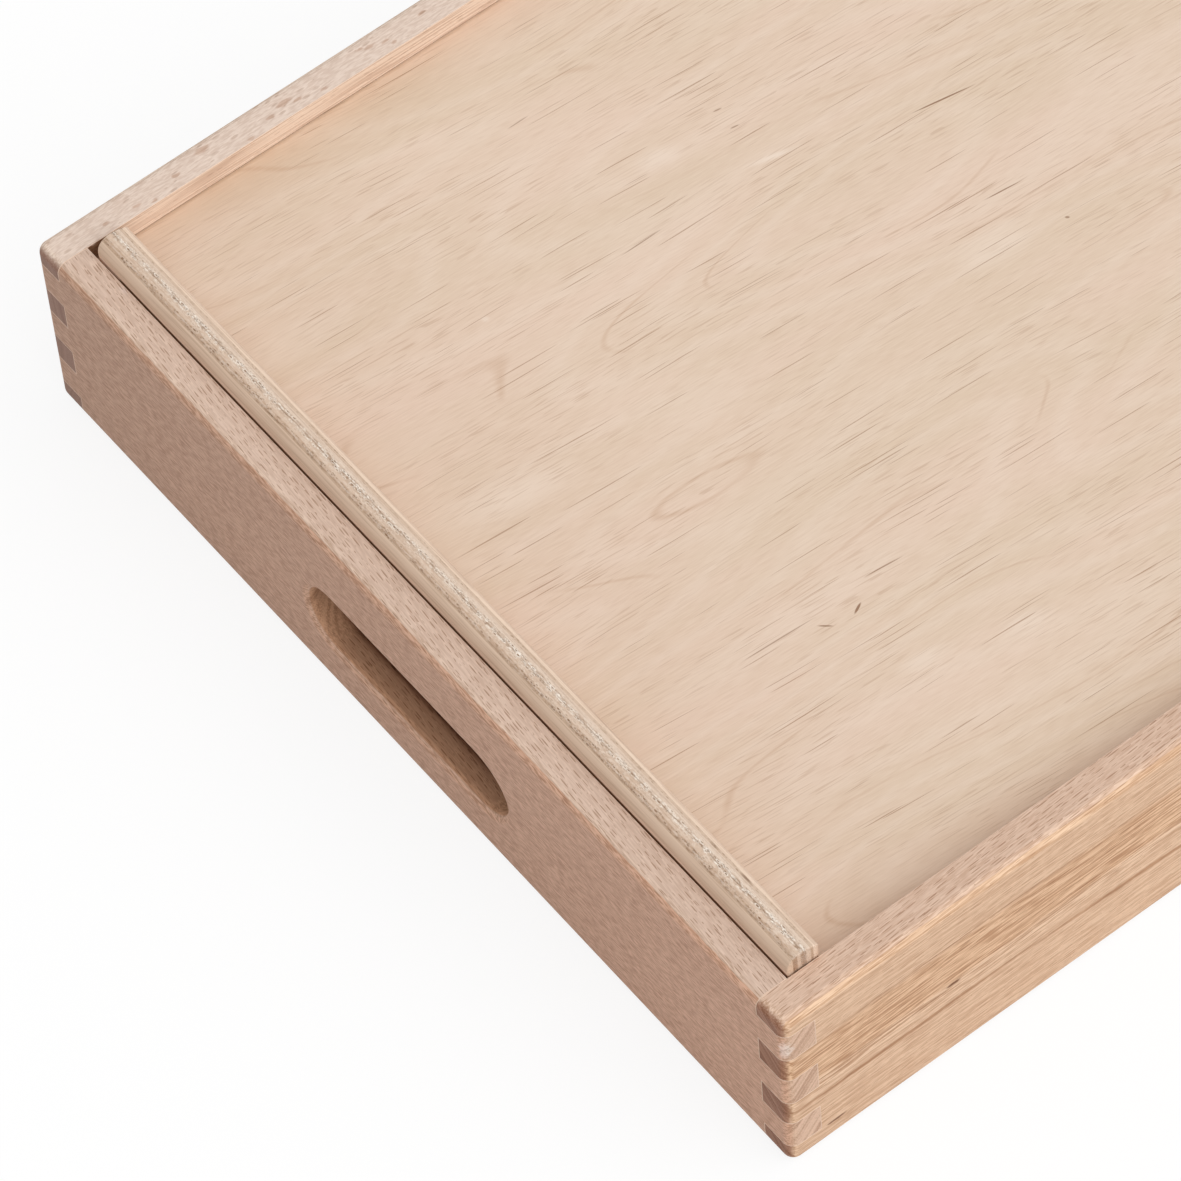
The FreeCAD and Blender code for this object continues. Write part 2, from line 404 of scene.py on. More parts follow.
def beech(
    node,
    grain_turn,
    heart,
    ray_gap,
    ray_half,
    pale,
    deep,
    face_near_tone_and_light,
    face_far_tone_and_light,
    end_tint,
    ring_show,
    edge_fibre,
    face_fibre,
    ray_show,
    face_rays=1.0,
    streaky=(-0.1, 0.1),
    marks=(),
    slotted=False,
):
    """Solid beech right through a board. The heart of the tree lies beside the board's middle, across the
    grain; the rings go round it and the rays point at it, so each face cuts them in its own way. Fibres
    on the narrow edges and the wide faces are given by how many there are in a metre, along and across
    the grain, and how strongly they show: on the wide faces fully between the two streaky heights. A mark
    has its centre and half size along, across and up from the board's middle, its rise, how far out it
    starts to fade, how strongly it shows and its tint: a stain, or painted shade."""
    material, finish, surface = new_finish(node + " beech")
    here = step(finish, "TexCoord")
    low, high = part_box(node)
    board = step(
        finish,
        "Mapping",
        {"Vector": here.outputs["Object"], "Location": (low + high) / 2, "Rotation": (0, 0, grain_turn)},
        vector_type="TEXTURE",
    ).outputs[0]
    facing = step(
        finish,
        "Mapping",
        {"Vector": here.outputs["Normal"], "Rotation": (0, 0, -grain_turn)},
        vector_type="NORMAL",
    ).outputs[0]

    # No tree grows straight: the grain sways slowly along the board
    swayed = strayed(finish, board, (5, 28, 28), 2.0, grain_sway, board)
    part = step(finish, "SeparateXYZ", {0: swayed})
    along = part.outputs[0]
    upright = part.outputs[2]
    across = maths(finish, "SUBTRACT", part.outputs[1], heart[0])
    upward = maths(finish, "SUBTRACT", upright, heart[1])
    heart_distance = maths(
        finish,
        "SQRT",
        maths(finish, "MULTIPLY_ADD", across, across, maths(finish, "MULTIPLY", upward, upward)),
    )
    round_heart = maths(finish, "MULTIPLY", maths(finish, "ARCTAN2", upward, across), math.hypot(*heart))
    ring_place = vector(finish, along, heart_distance, round_heart)

    # Growth rings, paler and darker layers of uneven width; then fibres and thin dark vessel lines
    rings = cloud(finish, ring_place, (1.5, 330, 14), detail=1.0)
    end_rings = cloud(finish, ring_place, (3.0, 1000, 25), detail=1.0)
    broad = cloud(finish, board, (9, 45, 45), detail=1.0)
    tone = swing(finish, rings, ring_show, plain_tone)
    tone = swing(finish, broad, broad_show, tone)
    facing = step(finish, "SeparateXYZ", {0: facing})
    turned = maths(finish, "ABSOLUTE", facing.outputs[1])
    side = ramp(finish, turned, 0.3, 0.9)
    rounded = rounding(finish, here.outputs["Normal"])
    edge_run, edge_many, edge_show = edge_fibre
    face_run, face_many, face_show = face_fibre
    on_edge = fibres(finish, swayed, edge_run, edge_many)
    on_face = fibres(finish, swayed, face_run, face_many)
    fine = between(finish, side, on_edge, on_face)
    streaks = maths(
        finish,
        "MINIMUM",
        ramp(finish, upright, streaky[0] - calm_fade, streaky[0] + streaky_fade),
        ramp(finish, upright, streaky[1] + calm_fade, streaky[1] - streaky_fade),
    )
    streaks = ramp(finish, streaks, 0.0, 1.0, calm_share * face_show, face_show, smooth=False)
    fine_show = between(finish, side, edge_show, streaks)
    fine_show = maths(finish, "MULTIPLY_ADD", rounded, edge_show, fine_show)
    tone = maths(finish, "MULTIPLY_ADD", fine, fine_show, tone)
    ahead = maths(finish, "ABSOLUTE", facing.outputs[0])
    cut_across = ramp(finish, ahead, 0.25, 0.75)
    end_show = maths(finish, "MULTIPLY", maths(finish, "SUBTRACT", end_rings, 0.5), cut_across)
    tone = maths(finish, "MULTIPLY_ADD", end_show, end_ring_show, tone)
    tone = step(finish, "Clamp", {0: tone}).outputs[0]
    colour = tint(finish, tone, deep, pale)

    # Rays: thin ribbons that stand on the rings
    rays, rims = spindles(finish, ring_place, ray_gap, ray_half)
    on_grain = maths(finish, "SUBTRACT", 1.0, cut_across)
    ray_share = ramp(finish, side, 0.0, 1.0, ray_show, ray_show * face_rays)
    on_grain = maths(finish, "MULTIPLY", on_grain, ray_share)
    rays = maths(finish, "MULTIPLY", rays, on_grain)
    rims = maths(finish, "MULTIPLY", rims, on_grain)
    colour = tint(finish, rays, colour, ray_brown, "MULTIPLY")
    colour = tint(finish, rims, colour, ray_rim_pale, "MULTIPLY")
    ragged = strayed(finish, board, (450, 900, 900), 1.0, mark_rag, swayed)
    for centre, half_size, rise, soft, share, mark_tint in marks:
        mark = spot(finish, ragged, centre, half_size, (0.0, -rise, 0.0), soft)
        colour = tint(finish, maths(finish, "MULTIPLY", mark, share), colour, mark_tint, "MULTIPLY")

    # The wide faces take their own tint, down from an uneven line that sanding left on the rounded edge. The
    # tint holds painted shade and light: the front board's faces are painted darker and warmer, most towards
    # its left end, and the right board's grow paler towards its back. End grain drinks the oil and goes
    # darker still
    rise = step(finish, "SeparateXYZ", {0: here.outputs["Object"]}).outputs[2]
    top_edge = maths(
        finish,
        "MULTIPLY",
        ramp(finish, facing.outputs[2], 0.02, 0.2),
        ramp(finish, rise, sanding_line_from, sanding_line_from + 0.0005),
    )
    uneven = maths(finish, "MULTIPLY_ADD", fine, 0.10, turned)
    crisp = ramp(finish, uneven, 0.57, 0.66)
    sanded = between(finish, top_edge, side, crisp)
    run = ramp(finish, along, -face_tint_reach, face_tint_reach, smooth=False)
    face_tone_and_light = tint(finish, run, face_near_tone_and_light, face_far_tone_and_light)
    colour = tint(finish, sanded, colour, face_tone_and_light, "MULTIPLY")
    line = maths(finish, "ABSOLUTE", maths(finish, "SUBTRACT", uneven, 0.64))
    line = maths(finish, "MULTIPLY", ramp(finish, line, 0.07, 0.02), top_edge)
    colour = tint(finish, maths(finish, "MULTIPLY", line, 0.5), colour, sanding_brown, "MULTIPLY")
    ahead = ramp(finish, ahead, 0.45, 0.92)
    if slotted:
        colour, inside = shade_slot_wall(finish, here.outputs["Object"], side, colour)
        ahead = maths(finish, "MULTIPLY", ahead, maths(finish, "SUBTRACT", 1.0, inside))
    colour = tint(finish, ahead, colour, end_tint, "MULTIPLY")
    # Painted highlight, with some polish: the rounded edges are made paler
    polish_and_highlight = maths(finish, "MULTIPLY", rounded, 0.8)
    colour = tint(finish, polish_and_highlight, colour, polish_and_highlight_pale, "MULTIPLY")

    height = maths(finish, "MULTIPLY_ADD", rays, -1.2, maths(finish, "MULTIPLY", fine, 0.8))
    bare_wood(finish, surface, colour, 0.62, 0.2, height, depth=0.00005, strength=0.7)
    return material


def dress(node, material, edge):
    """Gives a piece of the frame its finish and its sanded edges."""
    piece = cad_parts[node]
    piece.data.materials.clear()
    piece.data.materials.append(material)
    piece.data.materials.append(edge)
    soften(piece, arris)


# Sanded edges: fresh wood painted pale, partly a painted highlight along each edge
beech_edge_and_highlight = sanded_edge_and_highlight("sanded beech edge and highlight", shade(240, 216, 196), shade(222, 192, 168))
front_beech = beech(
    "front_board",
    grain_turn=front_grain_turn,
    heart=front_heart,
    ray_gap=front_ray_gap,
    ray_half=front_ray_half,
    pale=front_pale,
    deep=front_deep,
    face_near_tone_and_light=front_face_shade_left,
    face_far_tone_and_light=front_face_shade_right,
    end_tint=front_end_tint,
    ring_show=0.1,
    edge_fibre=(190, 2600, 0.42),
    face_fibre=(340, 2600, 0.9),
    ray_show=0.6,
    face_rays=0.6,
    marks=[pale_corner_patch, bruise],
    slotted=True,
)
dress("front_board", front_beech, beech_edge_and_highlight)

# ---- Back board --------------------------------------------------------------------------------------
# Beech like the front board, with the same hand slot, but sawn lower, so that the lid can pass over it.
# That leaves two fingers at each end. Its outer top edge is rounded to let the lid start easily.
back_face = (0.97, 0.90, 0.85, 1.0)
back_beech = beech(
    "back_board",
    grain_turn=math.radians(5),
    heart=(-0.110, -0.120),
    ray_gap=front_ray_gap,
    ray_half=front_ray_half,
    pale=front_pale,
    deep=front_deep,
    face_near_tone_and_light=back_face,
    face_far_tone_and_light=back_face,
    end_tint=front_end_tint,
    ring_show=0.1,
    edge_fibre=(190, 2600, 0.42),
    face_fibre=(90, 2000, 0.7),
    ray_show=0.6,
    face_rays=0.6,
    slotted=True,
)
dress("back_board", back_beech, beech_edge_and_highlight)

# ---- Side boards -------------------------------------------------------------------------------------
# Solid beech, glued between the fingers of the end boards, with grooves for the lid and the bottom along
# the inside. The left board is flat sawn, so that its upper edge lies on the quarter and shows pale wood
# with brown ray flakes. Each flake has its place along and across that edge and its half size.
left_flakes = [
    (-0.1825, 0.0013, 0.0007),
    (-0.1733, 0.0006, 0.0008),
    (-0.1688, -0.0012, 0.0007),
    (-0.1600, 0.0018, 0.0008),
    (-0.1505, 0.0038, 0.0014),
    (-0.1388, -0.0017, 0.0007),
    (-0.1307, 0.0006, 0.0008),
    (-0.1255, 0.0021, 0.0013),
    (-0.1220, 0.0006, 0.0007),
    (-0.1147, -0.0012, 0.0007),
    (-0.1005, 0.0029, 0.0007),
    (-0.0980, 0.0021, 0.0008),
    (-0.0938, 0.0008, 0.0008),
    (-0.0922, -0.0009, 0.0007),
    (-0.0812, 0.0018, 0.0009),
]
flake_brown = (0.78, 0.68, 0.62, 1.0)
flake_rise = 0.0318  # from the board's middle to its upper edge
flake_marks = [
    ((along, across, flake_rise), (half * 2.1, half * 0.9, 0.0020), 0.0, 0.45, 0.9, flake_brown)
    for along, across, half in left_flakes
]
# Painted shade: the inner face is darkened in the deep front corner, beside the narrow hole by the lip's end
corner_shade_brown = (0.33, 0.22, 0.14, 1.0)
shaded_corner = ((-0.1885, -0.0047, 0.0283), (0.0100, 0.0036, 0.0100), 0.0, 0.88, 0.95, corner_shade_brown)
left_beech = beech(
    "left_side_board",
    grain_turn=math.radians(91),
    heart=(0.070, 0.0),
    ray_gap=(0.0036, 0.0030, 0.0008),
    ray_half=(0.0013, 0.0007, 0.0002),
    pale=shade(233, 213, 198),
    deep=shade(207, 182, 165),
    face_near_tone_and_light=(1.03, 0.99, 0.93, 1.0),
    face_far_tone_and_light=(1.04, 0.99, 0.93, 1.0),
    end_tint=(0.42, 0.305, 0.27, 1.0),
    ring_show=0.1,
    edge_fibre=(420, 2200, 0.6),
    face_fibre=(36, 1700, 1.25),
    ray_show=0.3,
    streaky=(0.0180, 0.1),
    marks=[*flake_marks, shaded_corner],
)
dress("left_side_board", left_beech, beech_edge_and_highlight)

# The right board has a browner band along its middle, and dark streaks and short dashes beside it.
streak_brown = (0.66, 0.54, 0.45, 1.0)
dash_brown = (0.34, 0.24, 0.18, 1.0)
band_brown = (0.93, 0.86, 0.78, 1.0)
right_marks = [
    ((-0.020, 0.0, 0.0070), (0.600, 0.030, 0.0092), 0.0, 0.75, 0.85, band_brown),
    ((-0.165, 0.0, -0.0088), (0.060, 0.030, 0.0011), math.radians(-0.2), 0.3, 1.0, streak_brown),
    ((-0.085, 0.0, -0.0116), (0.060, 0.030, 0.0011), math.radians(-2.6), 0.3, 1.0, streak_brown),
    ((-0.125, 0.0, 0.0156), (0.110, 0.030, 0.0004), 0.0, 0.2, 0.75, streak_brown),
    ((-0.165, 0.0, -0.0024), (0.040, 0.030, 0.0003), 0.0, 0.2, 0.75, streak_brown),
    ((-0.095, 0.0, 0.0008), (0.050, 0.030, 0.0005), math.radians(1.0), 0.2, 0.7, streak_brown),
    ((-0.1493, 0.003, -0.0015), (0.0027, 0.030, 0.0006), 0.0, 0.5, 1.0, dash_brown),
    ((-0.1857, 0.003, -0.0243), (0.0037, 0.030, 0.0006), 0.0, 0.5, 0.9, dash_brown),
]
right_beech = beech(
    "right_side_board",
    grain_turn=math.radians(93),
    heart=(0.190, -0.190),
    ray_gap=(0.0045, 0.0120, 0.0009),
    ray_half=(0.0021, 0.1, 0.00013),
    pale=shade(230, 201, 180),
    deep=shade(183, 145, 119),
    # Painted light: the wide faces are tinted paler towards the back of the box
    face_near_tone_and_light=(1.03, 0.985, 0.88, 1.0),
    face_far_tone_and_light=(1.09, 1.06, 0.94, 1.0),
    end_tint=(0.51, 0.365, 0.31, 1.0),
    ring_show=0.2,
    edge_fibre=(190, 2600, 0.36),
    face_fibre=(20, 1700, 1.1),
    ray_show=0.55,
    face_rays=0.75,
    streaky=(-0.0040, 0.0130),
    marks=right_marks,
)
dress("right_side_board", right_beech, beech_edge_and_highlight)

# ---- Bottom panel ------------------------------------------------------------------------------------
# One sheet of birch plywood, its face grain running along the box. It was let into grooves in all four
# boards before they were glued, with a little room on every side.
birch_pale = shade(228, 203, 183)
birch_deep = shade(222, 199, 176)
flame_pale = shade(240, 222, 206)
outline_pale = shade(236, 217, 200)
outline_brown = shade(200, 166, 138)
fibre_pale = shade(240, 220, 202)
fibre_deep = shade(204, 174, 148)
short_pore_brown = shade(184, 150, 122)
long_pore_brown = shade(158, 120, 92)
scratch_brown = shade(142, 106, 80)
# Painted shade beside the side boards' walls: a darker, warmer strip and a darker line where the sheet meets
# them
wall_shade_tint = (0.92, 0.88, 0.84, 1.0)
lipward_tint = (0.967, 0.948, 0.940, 1.0)
crease_shade_tint = (0.88, 0.84, 0.80, 1.0)
ply_pale = shade(214, 188, 160)
ply_deep = shade(168, 132, 102)
ply_speck_brown = shade(140, 104, 78)
wall_shade_from = 0.1180  # distances from the middle, across the box
wall_shade_to = 0.1395
crease_middle = 0.1400
crease_half = 0.0012
lipward_from = -0.1000  # places along the box
lipward_to = -0.1750
ply_pair = 0.001  # one ply and half of each neighbour
veneer_sway = 0.006


def strokes(finish, here, marks, soft, colour, mark_tint):
    """Stains a sheet's upper face with long strokes, each from one place to another, with its width and
    how strongly it shows."""
    on_top = ramp(finish, step(finish, "SeparateXYZ", {0: here.outputs["Normal"]}).outputs[2], 0.0, 0.5)
    for start, end, width, share in marks:
        way = Vector(end) - Vector(start)
        centre = (Vector(start) + Vector(end)) / 2
        turn = (0.0, 0.0, math.atan2(way.y, way.x))
        half_size = (way.length / 2, width / 2, 1.0)
        mark = spot(finish, here.outputs["Object"], (*centre, 0.0), half_size, turn, soft)
        mark = maths(finish, "MULTIPLY", maths(finish, "MULTIPLY", mark, on_top), share)
        colour = tint(finish, mark, colour, mark_tint)
    return colour


def birch_plywood(name, grain_turn, scratches=(), flames=()):
    """Birch plywood: a rotary-cut face veneer with soft flames and fine brown pores, plies at the edges.
    Scratches and flames are single strokes on the upper face."""
    material, finish, surface = new_finish(name)
    here = step(finish, "TexCoord")
    sheet = step(
        finish, "Mapping", {"Vector": here.outputs["Object"], "Rotation": (0, 0, -grain_turn)}
    ).outputs[0]
    part = step(finish, "SeparateXYZ", {0: sheet})
    across = swing(finish, cloud(finish, sheet, (9, 30, 300), detail=1.0), veneer_sway, part.outputs[1])
    swayed = vector(finish, part.outputs[0], across, part.outputs[2])

    mottle = cloud(finish, swayed, (9, 36, 300), detail=3.0, roughness=0.55)
    colour = tint(finish, ramp(finish, mottle, 0.3, 0.7), birch_deep, birch_pale)
    colour = strokes(finish, here, flames, 0.1, colour, flame_pale)

    # The knife that peeled the veneer cut the growth rings in long curved outlines, pale inside
    outlines = cloud(finish, swayed, (5, 20, 300), detail=1.0)
    outlines = maths(finish, "PINGPONG", maths(finish, "MULTIPLY", outlines, 11.0), 0.5)
    colour = tint(finish, ramp(finish, outlines, 0.2, 0.5, 0.0, 0.25), colour, outline_pale)
    shown = ramp(finish, cloud(finish, swayed, (12, 45, 300), detail=1.0), 0.5, 0.62, 0.0, 0.4)
    line = maths(finish, "MULTIPLY", ramp(finish, outlines, 0.05, 0.0), shown)
    colour = tint(finish, line, colour, outline_brown)

    # Fine fibres all over; short dark pores in loose crowds, and a few long ones
    fibre = cloud(finish, swayed, (170, 2300, 2300), detail=1.0, roughness=0.5)
    colour = tint(finish, ramp(finish, fibre, 0.5, 0.7, 0.0, 0.20), colour, fibre_deep)
    colour = tint(finish, ramp(finish, fibre, 0.5, 0.3, 0.0, 0.20), colour, fibre_pale)
    crowd = ramp(finish, cloud(finish, swayed, (16, 70, 300), detail=2.0), 0.40, 0.62, 0.15, 1.0)
    short_pores = ramp(finish, cloud(finish, swayed, (110, 2300, 300), detail=0.0), 0.62, 0.70)
    short_pores = maths(finish, "MULTIPLY", short_pores, crowd)
    colour = tint(finish, maths(finish, "MULTIPLY", short_pores, 0.34), colour, short_pore_brown)
    long_pores = ramp(finish, cloud(finish, swayed, (34, 2200, 300), detail=0.0), 0.75, 0.79)
    colour = tint(finish, maths(finish, "MULTIPLY", long_pores, 0.6), colour, long_pore_brown)
    colour = strokes(finish, here, scratches, 0.5, colour, scratch_brown)

    # Painted shade: darker, warmer strips along both long edges beside the side boards, and a darker line
    # where the sheet meets them; the sheet is also a little darker towards the lip end of the box
    place = step(finish, "SeparateXYZ", {0: here.outputs["Object"]})
    beside = maths(finish, "ABSOLUTE", place.outputs[0])
    wall_shade = ramp(finish, beside, wall_shade_from, wall_shade_to)
    colour = tint(finish, wall_shade, colour, wall_shade_tint, "MULTIPLY")
    lipward = ramp(finish, place.outputs[1], lipward_from, lipward_to)
    colour = tint(finish, lipward, colour, lipward_tint, "MULTIPLY")
    from_crease = maths(finish, "ABSOLUTE", maths(finish, "SUBTRACT", beside, crease_middle))
    crease_shade = ramp(finish, from_crease, crease_half, crease_half - 0.0010)
    colour = tint(finish, crease_shade, colour, crease_shade_tint, "MULTIPLY")

    facing = step(finish, "SeparateXYZ", {0: here.outputs["Normal"]}).outputs[2]
    on_edge = ramp(finish, maths(finish, "ABSOLUTE", facing), 0.7, 0.35)
    plies = maths(finish, "PINGPONG", part.outputs[2], ply_pair)
    plies = ramp(finish, plies, 0.00042, 0.00058)
    ply_speck = cloud(finish, here.outputs["Object"], (1800, 1800, 4000), detail=1.0)
    edge_colour = tint(finish, plies, ply_pale, ply_deep)
    ply_speck = ramp(finish, ply_speck, 0.35, 0.75, 0.0, 0.4)
    edge_colour = tint(finish, ply_speck, edge_colour, ply_speck_brown)
    colour = tint(finish, on_edge, colour, edge_colour)

    height = maths(finish, "MULTIPLY_ADD", long_pores, -1.0, maths(finish, "MULTIPLY", fibre, 0.5))
    bare_wood(finish, surface, colour, 0.6, 0.25, height, depth=0.00003, strength=0.5)
    return material


bottom_birch = birch_plywood("bottom birch plywood", math.radians(90))
birch_edge_and_highlight = sanded_edge_and_highlight("sanded birch edge and highlight", shade(244, 222, 200), shade(230, 204, 180))
dress("bottom_panel", bottom_birch, birch_edge_and_highlight)

# ---- Lid panel ---------------------------------------------------------------------------------------
# Birch plywood of the same kind. It runs in the side boards' grooves, with its front edge in the front
# board's groove when it is shut. The face veneer was laid a few degrees off the panel's length.
lid_scratches = [
    ((-0.0555, -0.0880), (-0.0555, -0.0730), 0.0005, 0.6),
    ((-0.0435, -0.0050), (-0.0397, 0.0160), 0.0006, 0.9),
    ((0.0595, -0.1420), (0.0610, -0.1170), 0.0005, 0.6),
    ((0.0593, -0.1030), (0.0608, -0.0900), 0.0005, 0.7),
    ((0.0630, -0.1200), (0.0660, -0.1165), 0.0006, 0.8),
    ((0.0665, -0.1110), (0.0645, -0.1070), 0.0009, 0.9),
    ((-0.0102, -0.0077), (-0.0087, 0.0050), 0.0005, 0.8),
    ((-0.1057, -0.0850), (-0.1057, -0.0770), 0.0005, 0.5),
    ((0.0070, 0.0050), (0.0080, 0.0062), 0.0009, 0.7),
    ((-0.0762, -0.0415), (-0.0757, -0.0385), 0.0006, 0.6),
    ((-0.0692, -0.0415), (-0.0687, -0.0385), 0.0006, 0.6),
]
lid_flames = [
    ((-0.0575, -0.0480), (-0.0530, -0.0290), 0.0025, 0.75),
    ((-0.0625, -0.1265), (-0.0615, -0.1235), 0.0025, 0.6),
    ((-0.0180, -0.1770), (-0.0110, -0.1280), 0.0160, 0.5),
    ((0.0010, -0.0320), (0.0050, 0.0040), 0.0150, 0.45),
    ((-0.0760, -0.0700), (-0.0720, -0.0520), 0.0090, 0.5),
    ((0.0860, -0.1160), (0.0890, -0.0960), 0.0080, 0.45),
    ((0.0930, -0.0900), (0.0970, -0.0700), 0.0090, 0.45),
]
lid_birch = birch_plywood("lid birch plywood", math.radians(86), lid_scratches, lid_flames)
dress("lid_panel", lid_birch, birch_edge_and_highlight)

# ---- Lip ---------------------------------------------------------------------------------------------
# A strip of thicker birch plywood set on edge across the lid, its top shaped to a large front radius and
# a crown, which cuts through the plies. It is glued down, and screwed from under the lid.
lip_low, lip_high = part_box("lid_lip")
lip_thickness = lip_high.y - lip_low.y
# Painted light and shadow on the lip's front: paler just above the front board's top, dark in the gap below
# it
foot_light_full = lip_low.z + 0.0071  # just above the front board's top
foot_light_fades = lip_low.z + 0.0086
gap_shadow_full = lip_low.z + 0.0066  # just below it
gap_shadow_fades = lip_low.z + 0.0069
gap_shadow_left = -0.1275
ply_waver = 0.03
torn_lines = ((0.215, 0.3), (0.515, 0.4))  # each one's depth in the strip, and how strongly it shows
torn_wander = 0.07
knot_depth = 0.0075  # from the front of the strip
knot_rise = 0.0670
knots = ((0.1148, 0.0032, 0.8), (0.1028, 0.0024, 0.4))  # place and half length along it, and strength
lip_streak = shade(176, 144, 118)
torn_brown = shade(134, 100, 70)
torn_white = shade(252, 240, 226)
torn_line_brown = shade(124, 90, 62)
torn_line_white = shade(252, 240, 228)
knot_brown = shade(120, 88, 66)
sawn_brown = shade(160, 122, 94)
foot_light_tint = (1.38, 1.40, 1.46, 1.0)
gap_shadow_tint = (0.42, 0.31, 0.24, 1.0)


def banded(finish, value, stops):
    """A colour read from a list of stops, each a position between 0 and 1 with its colour."""
    made = step(finish, "ValToRGB", {0: value})
    bands = made.color_ramp.elements
    while len(bands) < len(stops):
        bands.new(0.5)
    for band, (at, colour) in zip(bands, stops):
        band.position = at
        band.color = colour
    return made.outputs["Color"]


def banded_share(finish, value, stops):
    """A number read from such a list, where each position has a number instead of a colour."""
    return banded(finish, value, [(at, (share, share, share, 1.0)) for at, share in stops])


def lip_plywood(name):
    """Seven plies side by side from front to back, each of one colour between its front and its back:
    long-grain plies smooth, cross-grain ones rough. A pale glue line lies behind the first ply, and the
    last one is painted paler near the strip's back edge, as a painted highlight."""
    material, finish, surface = new_finish(name)
    here = step(finish, "TexCoord")
    place = here.outputs["Object"]
    part = step(finish, "SeparateXYZ", {0: place})
    waver = cloud(finish, place, (60, 0, 60), detail=2.0)
    depth = maths(finish, "DIVIDE", maths(finish, "SUBTRACT", part.outputs[1], lip_low.y), lip_thickness)
    depth = swing(finish, waver, ply_waver, depth)
    plies = [
        (0.000, 0.140, shade(219, 191, 167)),
        (0.150, 0.165, shade(224, 197, 173)),
        (0.180, 0.300, shade(200, 170, 145)),
        (0.325, 0.440, shade(216, 190, 168)),
        (0.460, 0.600, shade(214, 190, 169)),
        (0.620, 0.735, shade(222, 199, 179)),
        (0.750, 0.820, shade(211, 185, 162)),
        # painted highlight along the strip's back edge
        (0.840, 0.915, shade(235, 210, 188)),
        (0.935, 1.000, shade(219, 192, 170)),
    ]
    ply_stops = []
    for front, back, wood in plies:
        ply_stops += [(front, wood), (back, wood)]
    colour = banded(finish, depth, ply_stops)

    # How many brown and white flecks each ply has, by depth: most are in the cross-grain plies
    brown_fleck = [(0.17, 0.0), (0.20, 0.8), (0.30, 1.0), (0.35, 0.15), (0.43, 0.2), (0.46, 0.9)]
    brown_fleck += [(0.59, 0.9), (0.62, 0.15), (0.74, 0.15), (0.76, 0.5), (0.82, 0.5), (0.84, 0.1)]
    white_fleck = [(0.17, 0.0), (0.20, 0.25), (0.35, 0.3), (0.43, 0.4)]
    white_fleck += [(0.46, 1.0), (0.59, 1.0), (0.62, 0.35), (0.74, 0.1)]
    in_brown = banded_share(finish, depth, brown_fleck)
    in_white = banded_share(finish, depth, white_fleck)
    streak = cloud(finish, place, (45, 1700, 1700), detail=2.0)
    colour = tint(finish, ramp(finish, streak, 0.45, 0.75, 0.0, 0.5), colour, lip_streak)
    torn = cloud(finish, place, (560, 1700, 1700), detail=3.0, roughness=0.75)
    chips, chip_rims = spindles(finish, place, (0.0014, 0.0007, 0.0007), (0.00055, 0.00021, 0.00021))
    patchy = ramp(finish, cloud(finish, place, (90, 300, 300), detail=1.0), 0.35, 0.65, 0.6, 1.0)
    dark = maths(finish, "MAXIMUM", ramp(finish, torn, 0.54, 0.62, 0.0, 0.8), chips)
    dark = maths(finish, "MULTIPLY", dark, patchy)
    dark = maths(finish, "MULTIPLY", dark, in_brown)
    light = maths(finish, "MAXIMUM", ramp(finish, torn, 0.46, 0.38, 0.0, 0.8), chip_rims)
    light = maths(finish, "MULTIPLY", light, patchy)
    light = maths(finish, "MULTIPLY", light, in_white)
    colour = tint(finish, maths(finish, "MULTIPLY", dark, 0.9), colour, torn_brown)
    colour = tint(finish, maths(finish, "MULTIPLY", light, 0.9), colour, torn_white)

    # Where the cutter tore a cross-grain ply, a broken dark line runs on, with pale fibres behind it
    wander = swing(finish, cloud(finish, place, (210, 0, 0), detail=3.0), torn_wander, depth)
    broken = cloud(finish, place, (150, 0, 0), detail=2.0)
    for at, share in torn_lines:
        beside = maths(finish, "SUBTRACT", wander, at)
        line = maths(finish, "MULTIPLY", ramp(finish, maths(finish, "ABSOLUTE", beside), 0.024, 0.008), share)
        line = maths(finish, "MULTIPLY", line, ramp(finish, broken, 0.42, 0.52))
        colour = tint(finish, line, colour, torn_line_brown)
        behind = maths(finish, "ABSOLUTE", maths(finish, "SUBTRACT", beside, 0.045))
        behind = maths(finish, "MULTIPLY", ramp(finish, behind, 0.024, 0.008), share)
        behind = maths(finish, "MULTIPLY", behind, ramp(finish, broken, 0.52, 0.42, 0.2, 0.8))
        colour = tint(finish, behind, colour, torn_line_white)

    # Small knots show in the sixth ply; the sawn ends show the cross-grain plies darker
    for middle, half, share in knots:
        centre = (middle, lip_low.y + knot_depth, knot_rise)
        knot = spot(finish, place, centre, (half, 0.0006, 0.0040), soft=0.3)
        colour = tint(finish, maths(finish, "MULTIPLY", knot, share), colour, knot_brown)
    facing = step(finish, "SeparateXYZ", {0: here.outputs["Normal"]})
    sawn = ramp(finish, maths(finish, "ABSOLUTE", facing.outputs[0]), 0.6, 0.95)
    crossing = maths(finish, "MULTIPLY", in_brown, sawn)
    colour = tint(finish, maths(finish, "MULTIPLY", crossing, 0.6), colour, sawn_brown)

    # Painted light and shadow on the front: it is painted paler just above the front board, and dark down in
    # the gap as a shadow, except near its left end, where the gap is closed
    ahead = ramp(finish, facing.outputs[1], -0.6, -0.9)
    foot_light = ramp(finish, part.outputs[2], foot_light_fades, foot_light_full)
    foot_light = maths(finish, "MULTIPLY", foot_light, ahead)
    colour = tint(finish, foot_light, colour, foot_light_tint, "MULTIPLY")
    gap_shadow = ramp(finish, part.outputs[2], gap_shadow_fades, gap_shadow_full)
    gap_shadow = maths(finish, "MULTIPLY", gap_shadow, ramp(finish, part.outputs[0], gap_shadow_left, gap_shadow_left + 0.0010))
    colour = tint(finish, maths(finish, "MULTIPLY", gap_shadow, ahead), colour, gap_shadow_tint, "MULTIPLY")

